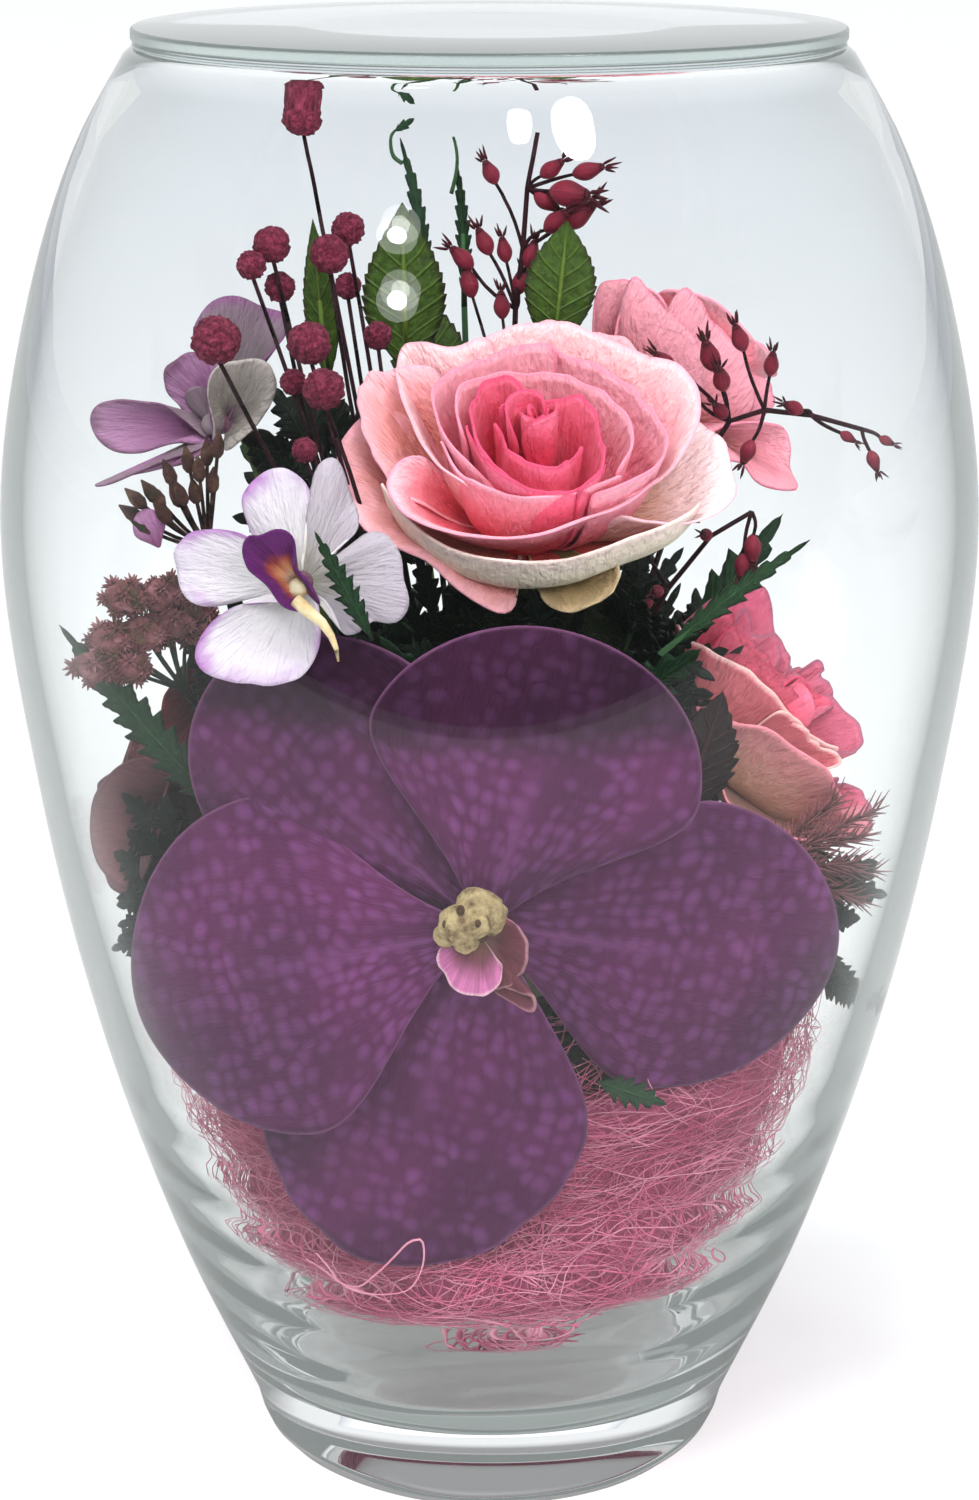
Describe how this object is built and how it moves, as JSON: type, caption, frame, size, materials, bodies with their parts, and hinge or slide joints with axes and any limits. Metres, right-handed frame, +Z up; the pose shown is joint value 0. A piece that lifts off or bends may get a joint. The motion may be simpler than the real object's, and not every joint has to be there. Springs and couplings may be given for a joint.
{
  "type": "preserved rose arrangement",
  "caption": "Preserved roses, orchids, pods and ferns standing in dry foam and sisal fibre inside a sealed, egg-shaped clear glass vase with a flat glass lid.",
  "frame": {"origin": "middle of the vase's underside, where it stands", "axes": "+Z up from the underside to the lid; -Y is the side that shows the large purple orchid"},
  "size_m": [0.1316, 0.1316, 0.2],
  "materials": {
    "clear_glass": "clear, polished",
    "clear_sealant": "clear, glossy",
    "dry_foam": "matte, fine cells",
    "pink_sisal": "fine curly fibres",
    "purple_tepals": "matte, netted with lilac spots",
    "cream_lip": "matte, cream to maroon",
    "white_tepals": "matte, lilac at the tips",
    "purple_lip": "matte",
    "lavender_tepals": "matte",
    "pink_petals": "matte, cream at the rims",
    "deep_pink_petals": "matte, cream undersides",
    "dusky_petals": "matte",
    "green_stems": "matte, dried",
    "pink_ball_heads": "knobbly, matte",
    "dark_red_pods": "satin, dried",
    "fern_green": "satin, dried",
    "leaf_green": "satin, dried",
    "maroon_leaf": "matte, dried",
    "pink_filler": "fluffy, matte",
    "pink_brown_needles": "matte, dried",
    "brown_buds": "matte, dried"
  },
  "bodies": {
    "root": {"ball_spray_back": "pink_ball_heads", "ball_spray_front": "pink_ball_heads", "ball_spray_left": "pink_ball_heads", "bristle_right": "pink_brown_needles", "bud_spray_left": "brown_buds", "fern_back_left": "fern_green", "fern_back_low": "fern_green", "fern_back_mid": "fern_green", "fern_back_right": "fern_green", "fern_bottom": "fern_green", "fern_left": "fern_green", "fern_low_left": "fern_green", "fern_low_right": "fern_green", "fern_mid_left": "fern_green", "fern_mid_right": "fern_green", "fern_right": "fern_green", "fern_top_left": "fern_green", "fern_top_mid": "fern_green", "filler_left": "pink_filler", "foam": "dry_foam", "lavender_orchid_lip": "purple_lip", "lavender_orchid_stem": "green_stems", "lavender_orchid_tepals": "lavender_tepals", "leaf_back_high": "leaf_green", "leaf_back_left": "leaf_green", "leaf_back_low": "leaf_green", "leaf_left": "leaf_green", "leaf_maroon": "maroon_leaf", "leaf_top_left": "leaf_green", "leaf_top_right": "leaf_green", "lid": "clear_glass", "pod_spray_low": "dark_red_pods", "pod_spray_right": "dark_red_pods", "pod_spray_top": "dark_red_pods", "rose_back_petals": "pink_petals", "rose_back_stem": "green_stems", "rose_front_petals": "pink_petals", "rose_front_stem": "green_stems", "rose_left_petals": "dusky_petals", "rose_left_stem": "green_stems", "rose_right_petals": "deep_pink_petals", "rose_right_stem": "green_stems", "seal_ring": "clear_sealant", "sisal_nest": "pink_sisal", "vanda_lip": "cream_lip", "vanda_stem": "green_stems", "vanda_tepals": "purple_tepals", "vase": "clear_glass", "white_orchid_lip": "purple_lip", "white_orchid_stem": "green_stems", "white_orchid_tepals": "white_tepals"}
  },
  "joints": []
}
